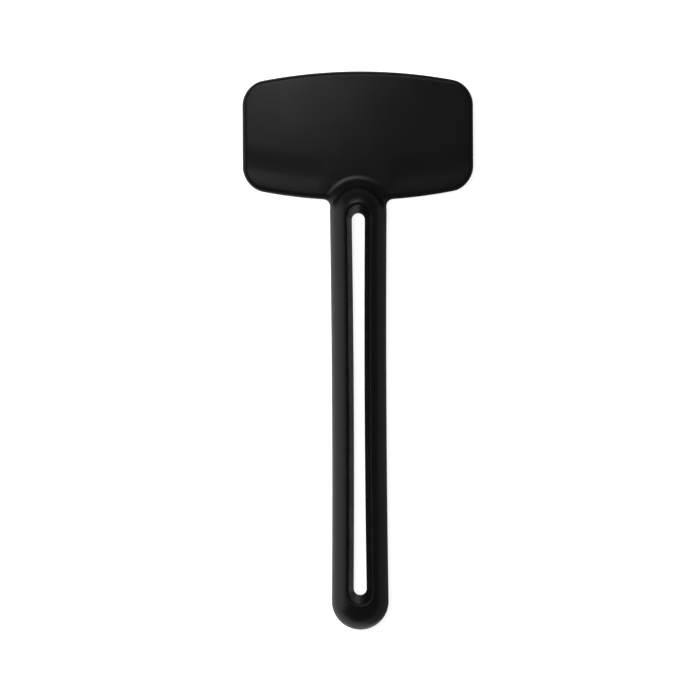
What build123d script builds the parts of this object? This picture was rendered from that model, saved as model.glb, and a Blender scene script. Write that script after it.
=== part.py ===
"""Tube key: a flat thumb plate on a round rod, with a drafted slot right through the rod for a tube's end.

The real key is one moulding. It is modelled here as five solids that meet face to face: the thumb plate, the
root of the rod where it blends into that plate, the two rails either side of the slot, and the round tip.

Millimetres. The key lies flat: X across it, Y along the rod towards the plate, Z up from the surface that it
lies on. While it is made, Y is counted from the end of the tip and Z from the middle of the rod. At the end it
moves so that the origin is at the bottom of its box, in the middle.
"""

import os
from math import radians, sqrt, tan

from build123d import *

# Driving dimensions
plate_width = 41.3
plate_height = 23.1  # along the key, on its centre line
plate_thickness = 2.5
plate_bow_radius = 92.0  # the plate's upper and lower edges are shallow arcs
plate_corner_radius = 3.6
plate_rim_radius = 0.9

rod_length = 80.0  # over both round ends
rod_radius = 5.1  # of both round ends
rod_waist = 0.2  # how much less the radius is halfway along
rod_overlap = 3.1  # how far the rod's round end reaches past the plate's lower edge
root_fillet = 1.6  # between the rod and the plate
root_margin = 0.3  # plate that is kept with the root, outside that fillet

tip_wall = 6.25  # solid rod before the slot starts
root_wall = 5.45  # solid rod after it ends
slot_width = 2.25  # at the throat, halfway through the rod
slot_waist = 0.2  # how much nearer each long wall is to the middle, halfway along
side_draft = 13.0  # degrees, on each long wall
end_draft = 17.0  # degrees, on each end wall
mouth_round = 0.5  # the slot's edges at both faces
throat_round = 0.6  # the ridge where the two drafts meet

cutter_excess = 1.0

# Places that follow from them
plate_bottom = rod_length - rod_overlap
key_length = plate_bottom + plate_height
tip_centre = rod_radius
root_centre = rod_length - rod_radius
slot_start = tip_wall
slot_end = rod_length - root_wall
tip_joint = slot_start + slot_width
root_joint = slot_end - slot_width


class Waisted:
    """A long outline with half-round ends about low and high, whose sides are drawn in halfway along.

    Each side is a shallow curve, tangent to both ends. side_radius is about the radius it has halfway along.
    """

    def __init__(self, end_radius, waist, low, high):
        half = (high - low) / 2
        narrow = end_radius - waist
        side_radius = (half**2 + narrow**2 - end_radius**2) / (2 * waist)
        reach = end_radius / (side_radius + end_radius)
        touch = ((narrow + side_radius) * reach, half * reach)
        self.bottom = (0, low - end_radius)
        self.top = (0, high + end_radius)
        self.low_touch = (touch[0], low + touch[1])
        self.high_touch = (touch[0], high - touch[1])
        self.pull = (2 * narrow - touch[0], low + half)
        shoulder = end_radius * sqrt(0.5)
        self.low_shoulder = (shoulder, low - shoulder)
        self.high_shoulder = (shoulder, high + shoulder)

    def right_side(self):
        """From the lowest point to the highest, on the +X side."""
        low_arc = ThreePointArc(self.bottom, self.low_shoulder, self.low_touch)
        long_curve = Bezier(self.low_touch, self.pull, self.high_touch)
        high_arc = ThreePointArc(self.high_touch, self.high_shoulder, self.top)
        return Curve() + [low_arc, long_curve, high_arc]

    def half_face(self):
        return make_face(self.right_side() + Line(self.top, self.bottom))

    def face(self):
        return make_face(self.right_side() + mirror(self.right_side(), Plane.YZ))


def make_rod():
    profile = Waisted(rod_radius, rod_waist, tip_centre, root_centre)
    return revolve(profile.half_face(), Axis.Y, 360)


def make_plate():
    half_width = plate_width / 2
    bow = plate_bow_radius - sqrt(plate_bow_radius**2 - half_width**2)
    high, low = key_length - bow, plate_bottom + bow
    upper = ThreePointArc((-half_width, high), (0, key_length), (half_width, high))
    lower = ThreePointArc((half_width, low), (0, plate_bottom), (-half_width, low))
    sides = [Line(upper @ 1, lower @ 0), Line(lower @ 1, upper @ 0)]
    outline = make_face([upper, sides[0], lower, sides[1]])
    outline = fillet(outline.vertices(), plate_corner_radius)
    plate = extrude(outline, plate_thickness / 2, both=True)
    rims = plate.faces().filter_by(Axis.Z).edges()
    return fillet(rims, plate_rim_radius)


def blend_root(body):
    """Rolls the root fillet along the line where the plate meets the rod's round end."""
    centre = Vector(0, root_centre, 0)

    def on_round_end(edge):
        return all(abs((edge @ t - centre).length - rod_radius) < 0.001 for t in (0, 0.5, 1))

    def beside_plate(edge):
        return edge.bounding_box().min.Y > plate_bottom

    return fillet([e for e in body.edges() if on_round_end(e) and beside_plate(e)], root_fillet)


def slot_outline(height):
    """The slot's outline this far above or below the throat."""
    radius = slot_width / 2 + abs(height) * tan(radians(side_draft))
    end_growth = abs(height) * tan(radians(end_draft))
    low = slot_start - end_growth + radius
    high = slot_end + end_growth - radius
    return Pos(0, 0, height) * Waisted(radius, slot_waist, low, high).face()


def make_slot():
    """A cutter for the whole slot, narrow at the throat and wider towards both faces."""
    reach = rod_radius + cutter_excess
    upper = loft([slot_outline(0), slot_outline(reach)], ruled=True)
    lower = loft([slot_outline(-reach), slot_outline(0)], ruled=True)
    return upper + lower


def cut_slot(body):
    body = body - make_slot()

    def along_slot(edge):
        middle = edge @ 0.5
        return abs(middle.X) < rod_radius / 2 and 0 < middle.Y - slot_start / 2 < slot_end

    def at_mouth(edge):
        return along_slot(edge) and abs((edge @ 0.5).Z) > rod_radius / 2

    def at_throat(edge):
        return along_slot(edge) and all(abs((edge @ t).Z) < 0.001 for t in (0, 0.5, 1))

    body = fillet([e for e in body.edges() if at_mouth(e)], mouth_round)
    return fillet([e for e in body.edges() if at_throat(e)], throat_round)


def divide(body):
    """The moulding as solids that meet face to face, by name."""
    wide = 2 * (key_length + plate_width)

    def slab(low, high):
        return Pos(0, (low + high) / 2, 0) * Box(wide, high - low, wide)

    # The root's share of the plate is a disc that takes in the whole fillet.
    drop = plate_bottom - root_centre
    fillet_reach = sqrt((rod_radius + root_fillet) ** 2 + 2 * drop * root_fillet - root_fillet**2)
    disc = Pos(0, root_centre, 0) * Cylinder(fillet_reach + root_margin, wide)
    head_end = body & slab(root_joint, key_length + cutter_excess)
    rails = (body & slab(tip_joint, root_joint)).solids().sort_by(Axis.X)
    return {
        "thumb_plate": head_end - disc,
        "rod_root": head_end & disc,
        "left_rail": rails[0],
        "right_rail": rails[1],
        "rod_tip": body & slab(-cutter_excess, tip_joint),
    }


def make_key():
    body = cut_slot(blend_root(make_rod() + make_plate()))
    box = body.bounding_box()
    placed = Pos(-box.center().X, -box.center().Y, -box.min.Z)
    return {name: placed * piece for name, piece in divide(body).items()}


os.makedirs("parts", exist_ok=True)
for name, piece in make_key().items():
    export_step(piece, f"parts/{name}.step")
    print(name, len(piece.solids()), round(piece.volume, 1))
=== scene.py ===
import math
import bmesh
import bpy
import numpy as np
from mathutils import Matrix, Vector


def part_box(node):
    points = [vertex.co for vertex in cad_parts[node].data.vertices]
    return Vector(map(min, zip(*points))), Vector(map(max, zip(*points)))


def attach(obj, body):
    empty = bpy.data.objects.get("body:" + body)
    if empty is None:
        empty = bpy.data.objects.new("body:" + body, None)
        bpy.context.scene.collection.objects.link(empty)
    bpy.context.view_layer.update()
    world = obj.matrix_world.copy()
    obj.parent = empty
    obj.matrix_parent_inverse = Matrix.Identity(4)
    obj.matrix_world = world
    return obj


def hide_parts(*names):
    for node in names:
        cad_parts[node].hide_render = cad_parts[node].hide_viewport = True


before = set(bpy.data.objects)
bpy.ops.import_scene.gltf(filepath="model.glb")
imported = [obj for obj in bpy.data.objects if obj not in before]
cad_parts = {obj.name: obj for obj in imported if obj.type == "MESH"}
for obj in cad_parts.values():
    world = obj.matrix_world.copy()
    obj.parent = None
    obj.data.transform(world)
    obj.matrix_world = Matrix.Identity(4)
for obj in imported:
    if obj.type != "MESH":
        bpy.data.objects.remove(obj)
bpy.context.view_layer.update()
mm = 0.001

# The frame gives the key's places. Only roundings, drafts and bows are written here.
plateLow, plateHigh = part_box("thumb_plate")
rootLow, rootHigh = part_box("rod_root")
tipLow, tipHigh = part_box("rod_tip")
midHeight = (plateLow.z + plateHigh.z) / 2

rod = {
    "radius": (tipHigh.x - tipLow.x) / 2,
    "length": 80 * mm,
    "waist": 0.2 * mm,  # how much thinner it is halfway along, on the radius
    "fillet": 1.6 * mm,  # where it runs into the plate
}
rod["low"] = tipLow.y + rod["radius"]
rod["high"] = tipLow.y + rod["length"] - rod["radius"]

plate = {
    "halfWidth": (plateHigh.x - plateLow.x) / 2,
    "top": plateHigh.y,
    "bottom": plateHigh.y - 23.1 * mm,
    "halfThickness": (plateHigh.z - plateLow.z) / 2,
    "bowRadius": 92 * mm,
    "cornerRadius": 3.6 * mm,
    "rimRadius": 0.9 * mm,
}

slot = {
    "low": tipLow.y + 6.25 * mm,  # its two ends, at the throat
    "high": rod["high"] + rod["radius"] - 5.45 * mm,
    "width": 2.25 * mm,
    "waist": 0.2 * mm,
    "sideSlope": math.tan(math.radians(13)),
    "endSlope": math.tan(math.radians(17)),
    "throatRound": 0.07 * mm,
    "mouthRound": 0.5 * mm,
}

rough = {  # only a start: every vertex is settled on the true form later
    "rodSides": 48,
    "rodRings": 24,
    "plateSpans": 24,
    "cornerSegments": 8,
    "slotSides": 40,
    "overshoot": 1 * mm,  # how far a cutting shape reaches past what it cuts
    "near": 0.01 * mm,
}
skin = {
    "voxel": 0.2 * mm,
    "smoothings": 4,
    "settlings": 5,
    "longestStep": 0.3 * mm,
    "feel": 0.002 * mm,  # the step that a slope is felt over
    "onSkin": 0.02 * mm,
}


# How far a point is from each form, below nought inside it.
def waistedDistance(across, along, radius, waist, low, high):
    half = (high - low) / 2
    narrow = radius - waist
    sideRadius = (half**2 + narrow**2 - radius**2) / (2 * waist)
    reach = radius / (sideRadius + radius)
    touchX, touchRise = (narrow + sideRadius) * reach, half * reach
    fromMiddle = np.abs(along - (low + high) / 2)
    share = fromMiddle / (half - touchRise)
    side = across - narrow - (touchX - narrow) * share**2
    end = np.hypot(across, fromMiddle - half) - radius
    return np.where(share <= 1, side, end)


def roundedInside(a, b, radius):
    outer = np.hypot(np.maximum(a + radius, 0), np.maximum(b + radius, 0))
    return np.minimum(np.maximum(a, b), -radius) + outer


def roundedJoin(a, b, radius):
    return -roundedInside(-a, -b, radius)


def plateDistance(x, y, z):
    bow = plate["bowRadius"]
    upper = np.hypot(x, y - plate["top"] + bow) - bow
    lower = np.hypot(x, y - plate["bottom"] - bow) - bow
    outline = roundedInside(np.maximum(upper, lower), np.abs(x) - plate["halfWidth"], plate["cornerRadius"])
    return roundedInside(outline, np.abs(z) - plate["halfThickness"], plate["rimRadius"])


def slotDistance(x, y, z):
    height = np.hypot(z, slot["throatRound"])
    radius = slot["width"] / 2 + height * slot["sideSlope"]
    low = slot["low"] - height * slot["endSlope"] + radius
    high = slot["high"] + height * slot["endSlope"] - radius
    flat = waistedDistance(np.abs(x), y, radius, slot["waist"], low, high)
    return flat / math.hypot(1, slot["sideSlope"])


def keyDistance(points):
    x, y, z = points[:, 0], points[:, 1], points[:, 2] - midHeight
    rodPart = waistedDistance(np.hypot(x, z), y, rod["radius"], rod["waist"], rod["low"], rod["high"])
    body = roundedJoin(rodPart, plateDistance(x, y, z), rod["fillet"])
    return roundedInside(body, -slotDistance(x, y, z), slot["mouthRound"])


def outwards(points):
    step = np.eye(3) * skin["feel"]
    slope = np.stack([keyDistance(points + s) - keyDistance(points - s) for s in step], axis=1)
    return slope / np.maximum(np.linalg.norm(slope, axis=1, keepdims=True), 1e-12)


# Rough shapes, made with operators and joined with Boolean modifiers.
def addObject(name, bm):
    mesh = bpy.data.meshes.new(name)
    bm.to_mesh(mesh)
    bm.free()
    piece = bpy.data.objects.new(name, mesh)
    bpy.context.scene.collection.objects.link(piece)
    return piece


def roughRod():
    bm = bmesh.new()
    bmesh.ops.create_uvsphere(bm, u_segments=rough["rodSides"], v_segments=rough["rodRings"],
                              radius=rod["radius"])
    bmesh.ops.rotate(bm, verts=bm.verts, cent=(0, 0, 0), matrix=Matrix.Rotation(math.pi / 2, 3, "X"))
    for v in bm.verts:
        v.co.y += rod["high"] if v.co.y > -rough["near"] else rod["low"]
    bmesh.ops.translate(bm, verts=bm.verts, vec=(0, 0, midHeight))
    bmesh.ops.recalc_face_normals(bm, faces=bm.faces)
    return addObject("roughRod", bm)


def roughPlate():
    bm = bmesh.new()
    bmesh.ops.create_grid(bm, x_segments=rough["plateSpans"], y_segments=1, size=1)
    for v in bm.verts:
        x = v.co.x * plate["halfWidth"]
        bow = plate["bowRadius"] - math.sqrt(plate["bowRadius"] ** 2 - x**2)
        v.co = (x, plate["top"] - bow if v.co.y > 0 else plate["bottom"] + bow, plateLow.z)
    grown = bmesh.ops.extrude_face_region(bm, geom=bm.faces[:])["geom"]
    raised = [g for g in grown if isinstance(g, bmesh.types.BMVert)]
    bmesh.ops.translate(bm, verts=raised, vec=(0, 0, plateHigh.z - plateLow.z))
    upright = [e for e in bm.edges if abs(e.verts[0].co.z - e.verts[1].co.z) > plate["halfThickness"]]
    corners = [e for e in upright if abs(e.verts[0].co.x) > plate["halfWidth"] - rough["near"]]
    bmesh.ops.bevel(bm, geom=corners, offset=plate["cornerRadius"], segments=rough["cornerSegments"],
                    profile=0.5, affect="EDGES", material=-1)
    bmesh.ops.recalc_face_normals(bm, faces=bm.faces)
    return addObject("roughPlate", bm)


def roughSlot():
    bm = bmesh.new()
    rings = []
    reach = rod["radius"] + rough["overshoot"]
    for height in (-reach, 0, reach):
        radius = slot["width"] / 2 + abs(height) * slot["sideSlope"]
        spread = abs(height) * slot["endSlope"]
        ring = bmesh.ops.create_circle(bm, cap_ends=False, segments=rough["slotSides"],
                                       radius=radius)["verts"]
        for v in ring:
            end = slot["high"] + spread - radius if v.co.y > 0 else slot["low"] - spread + radius
            v.co = (v.co.x, v.co.y + end, midHeight + height)
        rings.append({e for v in ring for e in v.link_edges})
    for below, above in zip(rings, rings[1:]):
        bmesh.ops.bridge_loops(bm, edges=list(below | above))
    for ring in (rings[0], rings[-1]):
        bmesh.ops.contextual_create(bm, geom=list(ring))
    bmesh.ops.recalc_face_normals(bm, faces=bm.faces)
    return addObject("roughSlot", bm)


def combine(piece, tool, operation, solver):
    change = piece.modifiers.new(operation.lower(), "BOOLEAN")
    change.operation, change.object, change.solver = operation, tool, solver


def bake(piece, name):
    bpy.context.view_layer.update()
    mesh = bpy.data.meshes.new_from_object(piece.evaluated_get(bpy.context.evaluated_depsgraph_get()))
    mesh.name = name
    made = bpy.data.objects.new(name, mesh)
    bpy.context.scene.collection.objects.link(made)
    return made


def meshPoints(mesh):
    flat = np.empty(len(mesh.vertices) * 3)
    mesh.vertices.foreach_get("co", flat)
    return flat.reshape(-1, 3)


def settle(mesh):
    # Every vertex is eased on to the true form, so that flats are flat and roundings are round.
    points = meshPoints(mesh)
    for _ in range(skin["settlings"]):
        step = np.clip(keyDistance(points), -skin["longestStep"], skin["longestStep"])
        points = points - step[:, None] * outwards(points)
    mesh.vertices.foreach_set("co", points.ravel())
    mesh.update()


def makeBody():
    start, head, opening = roughRod(), roughPlate(), roughSlot()
    combine(start, head, "UNION", "EXACT")
    combine(start, opening, "DIFFERENCE", "EXACT")
    remesh = start.modifiers.new("even", "REMESH")
    remesh.mode, remesh.voxel_size = "VOXEL", skin["voxel"]
    body = bake(start, "keyBody")
    settle(body.data)
    bm = bmesh.new()
    bm.from_mesh(body.data)
    for _ in range(skin["smoothings"]):
        bmesh.ops.smooth_vert(bm, verts=bm.verts, factor=0.5,
                              use_axis_x=True, use_axis_y=True, use_axis_z=True)
    bm.to_mesh(body.data)
    bm.free()
    settle(body.data)
    for o in (start, head, opening):
        bpy.data.objects.remove(o)
    print("body", len(body.data.vertices), "vertices")
    return body


# The regions that the frame's nodes take up.
region = {
    "beyond": 10 * mm,  # past the key's two ends
    "halfHeight": 50 * mm,
    "discSides": 128,
}


def block(low, high):
    bm = bmesh.new()
    bmesh.ops.create_cube(bm, size=1)
    for v in bm.verts:
        v.co = [l + (h - l) * (c + 0.5) for l, h, c in zip(low, high, v.co)]
    return addObject("block", bm)


def disc():
    bm = bmesh.new()
    reach = rootHigh.y - rod["high"]
    bmesh.ops.create_cone(bm, cap_ends=True, segments=region["discSides"], radius1=reach, radius2=reach,
                          depth=region["halfHeight"] * 2)
    bmesh.ops.translate(bm, verts=bm.verts, vec=(0, rod["high"], midHeight))
    return addObject("disc", bm)


def shadeSkin(mesh):
    # The skin's normals come from the form itself, so the shading runs on from one piece to the next.
    points = meshPoints(mesh)
    pointNormals = outwards(points)
    starts = np.empty(len(mesh.loops), np.int32)
    mesh.loops.foreach_get("vertex_index", starts)
    centres = np.empty(len(mesh.polygons) * 3)
    mesh.polygons.foreach_get("center", centres)
    faceNormals = np.empty(len(mesh.polygons) * 3)
    mesh.polygons.foreach_get("normal", faceNormals)
    faceNormals = faceNormals.reshape(-1, 3)
    totals = np.empty(len(mesh.polygons), np.int32)
    mesh.polygons.foreach_get("loop_total", totals)
    owner = np.repeat(np.arange(len(totals)), totals)
    outer = np.abs(keyDistance(centres.reshape(-1, 3))) < skin["onSkin"]
    normals = np.where(outer[owner][:, None], pointNormals[starts], faceNormals[owner])
    mesh.shade_smooth()
    mesh.normals_split_custom_set(normals)


def cutPiece(name, node, body, steps, material):
    for tool, operation in steps:
        combine(body, tool, operation, "MANIFOLD")
    piece = bake(body, name)
    body.modifiers.clear()
    shadeSkin(piece.data)
    piece.data.materials.clear()
    piece.data.materials.append(material)
    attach(piece, "root")
    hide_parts(node)
    print(name, len(piece.data.polygons), "faces")


# Satin black moulded plastic: even in colour, a little uneven in gloss, with the mould's fine grain.
blackPlastic = {
    "colour": (0.0038, 0.0038, 0.0040, 1),
    "roughness": (0.27, 0.37),
    "ior": 1.5,
    "glossPatch": 90,  # patches per metre
    "glossDetail": 4,
    "glossSpread": (0.3, 0.7),  # the part of the noise that is used
    "grain": 9000,
    "grainDetail": 2,
    "grainDepth": 0.004 * mm,
}
trough = {  # a shallow sink along the plate's lower edge: distances from that edge, and depths
    "floor": 4.1 * mm,
    "inner": 8.2 * mm,
    "innerRise": 0.12 * mm,
    "lip": 0.8 * mm,
    "lipRise": 0.17 * mm,
    "clearOfRoot": (5 * mm, 8 * mm),
}


def makePlastic():
    material = bpy.data.materials.new("satinBlackPlastic")
    material.use_nodes = True
    nodes, links = material.node_tree.nodes, material.node_tree.links
    shader = nodes["Principled BSDF"]
    shader.inputs["Base Color"].default_value = blackPlastic["colour"]
    shader.inputs["IOR"].default_value = blackPlastic["ior"]
    place = nodes.new("ShaderNodeTexCoord")

    def noise(scale, detail):
        node = nodes.new("ShaderNodeTexNoise")
        node.inputs["Scale"].default_value = scale
        node.inputs["Detail"].default_value = detail
        links.new(place.outputs["Object"], node.inputs["Vector"])
        return node.outputs["Fac"]

    def mapRange(value, start, end, low, high, interpolation):
        node = nodes.new("ShaderNodeMapRange")
        node.interpolation_type = interpolation
        for socket, amount in zip(("From Min", "From Max", "To Min", "To Max"), (start, end, low, high)):
            node.inputs[socket].default_value = amount
        links.new(value, node.inputs["Value"])
        return node.outputs["Result"]

    def softStep(value, start, end, rise):
        return mapRange(value, start, end, 0, rise, "SMOOTHSTEP")

    def maths(operation, first, second=0):
        node = nodes.new("ShaderNodeMath")
        node.operation = operation
        for socket, value in zip(node.inputs, (first, second)):
            if isinstance(value, (int, float)):
                socket.default_value = value
            else:
                links.new(value, socket)
        return node.outputs["Value"]

    def bump(height, distance, under=None):
        node = nodes.new("ShaderNodeBump")
        node.inputs["Strength"].default_value = 1
        node.inputs["Distance"].default_value = distance
        links.new(height, node.inputs["Height"])
        if under:
            links.new(under, node.inputs["Normal"])
        return node.outputs["Normal"]

    patches = noise(blackPlastic["glossPatch"], blackPlastic["glossDetail"])
    gloss = mapRange(patches, *blackPlastic["glossSpread"], *blackPlastic["roughness"], "LINEAR")
    links.new(gloss, shader.inputs["Roughness"])

    split = nodes.new("ShaderNodeSeparateXYZ")
    links.new(place.outputs["Object"], split.inputs["Vector"])
    bow = maths("DIVIDE", maths("POWER", split.outputs["X"], 2), 2 * plate["bowRadius"])
    fromEdge = maths("SUBTRACT", maths("SUBTRACT", split.outputs["Y"], plate["bottom"]), bow)
    rises = maths("ADD", softStep(fromEdge, trough["floor"], trough["inner"], trough["innerRise"]),
                  softStep(fromEdge, trough["floor"], trough["lip"], trough["lipRise"]))
    clear = softStep(maths("ABSOLUTE", split.outputs["X"]), *trough["clearOfRoot"], 1)
    depth = maths("MULTIPLY", maths("SUBTRACT", rises, trough["innerRise"]), clear)
    grain = noise(blackPlastic["grain"], blackPlastic["grainDetail"])
    links.new(bump(grain, blackPlastic["grainDepth"], bump(depth, 1)), shader.inputs["Normal"])
    return material


def makeKey():
    plastic = makePlastic()
    body = makeBody()
    wide, tall = plate["halfWidth"] * 2, region["halfHeight"]
    back, far = tipLow.y - region["beyond"], plate["top"] + region["beyond"]
    tipJoint, rootJoint = tipHigh.y, rootLow.y
    tipBlock = block((-wide, back, -tall), (wide, tipJoint, tall))
    leftBlock = block((-wide, tipJoint, -tall), (0, rootJoint, tall))
    rightBlock = block((0, tipJoint, -tall), (wide, rootJoint, tall))
    headBlock = block((-wide, rootJoint, -tall), (wide, far, tall))
    rootDisc = disc()
    cutPiece("rodTip", "rod_tip", body, [(tipBlock, "INTERSECT")], plastic)
    cutPiece("leftRail", "left_rail", body, [(leftBlock, "INTERSECT")], plastic)
    cutPiece("rightRail", "right_rail", body, [(rightBlock, "INTERSECT")], plastic)
    cutPiece("rodRoot", "rod_root", body, [(headBlock, "INTERSECT"), (rootDisc, "INTERSECT")], plastic)
    cutPiece("thumbPlate", "thumb_plate", body, [(headBlock, "INTERSECT"), (rootDisc, "DIFFERENCE")], plastic)
    for o in (body, tipBlock, leftBlock, rightBlock, headBlock, rootDisc):
        bpy.data.objects.remove(o)


# Studio.
studio = {
    "floorSize": 1.6,
    "floorColour": (0.8, 0.8, 0.8, 1),
    "paperRoughness": 0.9,
    "floorGlow": 0.88,  # what the camera sees on top of the floor's own light
    "sky": 0.07,
    "leftSky": 0.75,  # the low sky on the left
    "leftSkyFrom": -0.78,  # how far to the left it begins, as a direction
}
lamps = {
    # The paper's lamp stays out of the plastic's reflections. It is high, so that it shines through the slot.
    "paperLamp": {"place": (-0.16, 0.05, 0.47), "target": (0, 0, 0), "size": (0.05, 0.30), "brightness": 36,
                  "shape": "RECTANGLE", "mirrored": False},
    # Two panels are there to be mirrored.
    "plateDisc": {"place": (-0.018, 0.061, 0.072), "target": (-0.018, 0.061, 0), "size": (0.041, 0.041),
                  "brightness": 1.0, "shape": "ELLIPSE", "mirrored": True},
    "northPanel": {"place": (-0.05, 0.23, 0.28), "target": (0, 0.03, 0), "size": (0.26, 0.11),
                   "brightness": 1.1, "shape": "RECTANGLE", "mirrored": True},
}
paintedShadeCard = {  # painted shade: a grey sheet on the paper that only the plastic mirrors, so that the paper to the key's right looks shaded in its reflections
    "low": (0.007, -0.09),
    "high": (0.06, 0.09),
    "lift": 0.2 * mm,
    "colour": (0.2, 0.2, 0.2, 1),
}


def makeFloor():
    bm = bmesh.new()
    bmesh.ops.create_grid(bm, x_segments=1, y_segments=1, size=studio["floorSize"] / 2)
    floor = addObject("floor", bm)
    material = bpy.data.materials.new("palePaper")
    material.use_nodes = True
    nodes, links = material.node_tree.nodes, material.node_tree.links
    shader = nodes["Principled BSDF"]
    shader.inputs["Base Color"].default_value = studio["floorColour"]
    shader.inputs["Roughness"].default_value = studio["paperRoughness"]
    shader.inputs["Specular IOR Level"].default_value = 0
    shader.inputs["Emission Color"].default_value = (1, 1, 1, 1)
    ray = nodes.new("ShaderNodeLightPath")
    glow = nodes.new("ShaderNodeMath")
    glow.operation = "MULTIPLY"
    glow.inputs[1].default_value = studio["floorGlow"]
    links.new(ray.outputs["Is Camera Ray"], glow.inputs[0])
    links.new(glow.outputs["Value"], shader.inputs["Emission Strength"])
    floor.data.materials.append(material)


# Painted shade: a grey sheet that only glossy rays see. It stands in for the shade on the paper to the key's
# right, in the plastic's reflections.
def makePaintedShadeCard():
    bm = bmesh.new()
    bmesh.ops.create_grid(bm, x_segments=1, y_segments=1, size=0.5)
    for v in bm.verts:
        v.co = [l + (h - l) * (c + 0.5) for l, h, c in zip(paintedShadeCard["low"], paintedShadeCard["high"], v.co)] + [paintedShadeCard["lift"]]
    shadeSheet = addObject("paintedShadeSheet", bm)
    material = bpy.data.materials.new("paintedShadeSheet")
    material.use_nodes = True
    shader = material.node_tree.nodes["Principled BSDF"]
    # The sheet's grey is the painted shade that the plastic mirrors.
    shader.inputs["Base Color"].default_value = paintedShadeCard["colour"]
    shader.inputs["Roughness"].default_value = studio["paperRoughness"]
    shadeSheet.data.materials.append(material)
    shadeSheet.visible_camera = shadeSheet.visible_diffuse = shadeSheet.visible_shadow = shadeSheet.visible_transmission = False


def makeWorld():
    world = bpy.data.worlds.new("studioWorld")
    bpy.context.scene.world = world
    world.use_nodes = True
    nodes, links = world.node_tree.nodes, world.node_tree.links
    background = nodes["Background"]
    background.inputs["Color"].default_value = (1, 1, 1, 1)
    place = nodes.new("ShaderNodeTexCoord")
    split = nodes.new("ShaderNodeSeparateXYZ")
    links.new(place.outputs["Generated"], split.inputs["Vector"])
    side = nodes.new("ShaderNodeMapRange")
    side.inputs["From Min"].default_value, side.inputs["From Max"].default_value = studio["leftSkyFrom"], -1
    side.inputs["To Min"].default_value = studio["sky"]
    side.inputs["To Max"].default_value = studio["leftSky"]
    links.new(split.outputs["X"], side.inputs["Value"])
    ray = nodes.new("ShaderNodeLightPath")
    seen = nodes.new("ShaderNodeMix")
    seen.data_type = "FLOAT"
    links.new(ray.outputs["Is Camera Ray"], seen.inputs["Factor"])
    links.new(side.outputs["Result"], seen.inputs["A"])
    seen.inputs["B"].default_value = 1.0
    links.new(seen.outputs["Result"], background.inputs["Strength"])


def makeLamps():
    for name, lamp in lamps.items():
        data = bpy.data.lights.new(name, "AREA")
        data.shape = lamp["shape"]
        data.size, data.size_y = lamp["size"]
        face = data.size * data.size_y * (math.pi / 4 if lamp["shape"] == "ELLIPSE" else 1)
        data.energy = lamp["brightness"] * math.pi * face
        holder = bpy.data.objects.new(name, data)
        bpy.context.scene.collection.objects.link(holder)
        place = Vector(lamp["place"])
        holder.location = place
        holder.rotation_euler = (Vector(lamp["target"]) - place).to_track_quat("-Z", "Y").to_euler()
        holder.visible_camera = False
        holder.visible_glossy = lamp["mirrored"]


view = {
    "distance": 0.8,
    "pictureWidth": 125.4 * mm,  # what the picture takes in, at the middle of the rod
    "place": (-1.6 * mm, 0.1 * mm),
    "roll": math.radians(-0.3),
}


def makeCamera():
    data = bpy.data.cameras.new("camera")
    data.lens = data.sensor_width * view["distance"] / view["pictureWidth"]
    data.clip_start, data.clip_end = 0.01, 20
    camera = bpy.data.objects.new("camera", data)
    bpy.context.scene.collection.objects.link(camera)
    camera.location = (*view["place"], midHeight + view["distance"])
    camera.rotation_euler = (0, 0, view["roll"])
    bpy.context.scene.camera = camera


makeCamera()
print("camera placed")
makeKey()
print("key made")
makeFloor()
makePaintedShadeCard()
makeWorld()
makeLamps()
bpy.context.scene.view_settings.view_transform = "Standard"
print("studio lit")
